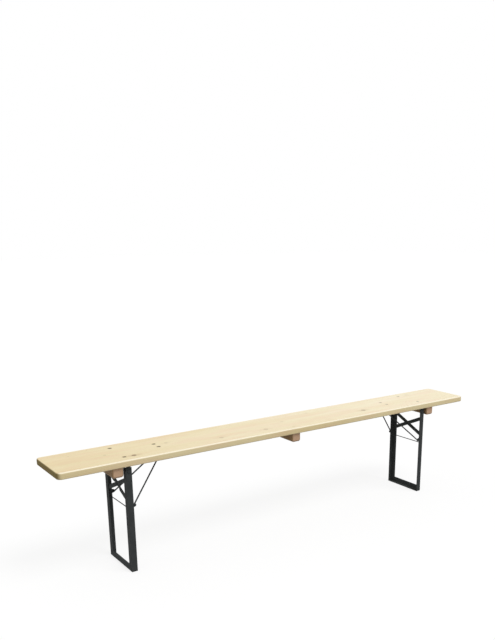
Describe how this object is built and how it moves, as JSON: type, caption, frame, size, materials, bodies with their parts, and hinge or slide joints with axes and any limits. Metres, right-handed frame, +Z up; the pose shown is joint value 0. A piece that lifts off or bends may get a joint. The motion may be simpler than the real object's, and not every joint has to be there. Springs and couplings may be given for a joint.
{
  "type": "folding bench",
  "caption": "Long softwood bench on two fold-in steel angle legs, each braced by a wire stay that snaps into a spring catch.",
  "frame": {"origin": "on the floor under the middle of the board", "axes": "+X along the board to the right-hand end, -Y towards the front, +Z up"},
  "size_m": [2.2, 0.25, 0.48],
  "materials": {
    "board_wood": "clear varnished softwood with knots",
    "batten_wood": "darker varnished softwood with end grain",
    "painted_steel": "anthracite paint, satin",
    "zinc_steel": "zinc plated, dull",
    "spring_steel": "blued spring steel, oiled"
  },
  "bodies": {
    "board": {"seat_board": "board_wood", "batten_left": "batten_wood", "batten_left_screw_1": "zinc_steel", "batten_left_screw_2": "zinc_steel", "batten_middle": "batten_wood", "batten_middle_screw_1": "zinc_steel", "batten_middle_screw_2": "zinc_steel", "batten_right": "batten_wood", "batten_right_screw_1": "zinc_steel", "batten_right_screw_2": "zinc_steel", "left_hinge_bracket": "painted_steel", "left_hinge_pin_front": "painted_steel", "left_bracket_bolt_front": "zinc_steel", "left_bracket_nut_front": "zinc_steel", "left_hinge_pin_back": "painted_steel", "left_bracket_bolt_back": "zinc_steel", "left_bracket_nut_back": "zinc_steel", "left_stay_guide": "zinc_steel", "left_guide_screw": "zinc_steel", "left_guide_bolt_front": "zinc_steel", "left_guide_nut_front": "zinc_steel", "left_guide_bolt_back": "zinc_steel", "left_guide_nut_back": "zinc_steel", "right_hinge_bracket": "painted_steel", "right_hinge_pin_front": "painted_steel", "right_bracket_bolt_front": "zinc_steel", "right_bracket_nut_front": "zinc_steel", "right_hinge_pin_back": "painted_steel", "right_bracket_bolt_back": "zinc_steel", "right_bracket_nut_back": "zinc_steel", "right_stay_guide": "zinc_steel", "right_guide_screw": "zinc_steel", "right_guide_bolt_front": "zinc_steel", "right_guide_nut_front": "zinc_steel", "right_guide_bolt_back": "zinc_steel", "right_guide_nut_back": "zinc_steel"},
    "left_leg": {"left_upright_front": "painted_steel", "left_upright_back": "painted_steel", "left_foot_bar": "painted_steel", "left_brace_flat": "painted_steel", "left_brace_cranked": "painted_steel", "left_brace_rivet": "painted_steel", "left_tie_wire": "painted_steel", "left_stay_lug_front": "painted_steel", "left_stay_lug_back": "painted_steel"},
    "left_stay": {"left_wire_stay": "painted_steel"},
    "left_catch": {"left_catch_leaf": "spring_steel", "left_catch_rivet": "zinc_steel"},
    "right_leg": {"right_upright_front": "painted_steel", "right_upright_back": "painted_steel", "right_foot_bar": "painted_steel", "right_brace_flat": "painted_steel", "right_brace_cranked": "painted_steel", "right_brace_rivet": "painted_steel", "right_tie_wire": "painted_steel", "right_stay_lug_front": "painted_steel", "right_stay_lug_back": "painted_steel"},
    "right_stay": {"right_wire_stay": "painted_steel"},
    "right_catch": {"right_catch_leaf": "spring_steel", "right_catch_rivet": "zinc_steel"}
  },
  "joints": [
    {"name": "left_leg_fold", "type": "hinge", "parent": "board", "child": "left_leg", "pos_m": [-0.813, 0, 0.428], "axis": [0, -1, 0], "range_deg": [0, 90]},
    {"name": "right_leg_fold", "type": "hinge", "parent": "board", "child": "right_leg", "pos_m": [0.813, 0, 0.428], "axis": [0, 1, 0], "range_deg": [0, 90]},
    {"name": "left_stay_swing", "type": "hinge", "parent": "left_leg", "child": "left_stay", "pos_m": [-0.7955, 0, 0.284], "axis": [0, 1, 0], "range_deg": [0, 136.5]},
    {"name": "right_stay_swing", "type": "hinge", "parent": "right_leg", "child": "right_stay", "pos_m": [0.7955, 0, 0.284], "axis": [0, -1, 0], "range_deg": [0, 136.5]},
    {"name": "left_catch_press", "type": "hinge", "parent": "board", "child": "left_catch", "pos_m": [-0.58, 0, 0.4507], "axis": [0, 1, 0], "range_deg": [0, 4], "stiffness_Nm_per_rad": 8},
    {"name": "right_catch_press", "type": "hinge", "parent": "board", "child": "right_catch", "pos_m": [0.58, 0, 0.4507], "axis": [0, -1, 0], "range_deg": [0, 4], "stiffness_Nm_per_rad": 8}
  ],
  "couplings": [
    {"joint": "left_stay_swing", "follows": "left_leg_fold", "ratio": 1.5167},
    {"joint": "right_stay_swing", "follows": "right_leg_fold", "ratio": 1.5167}
  ]
}
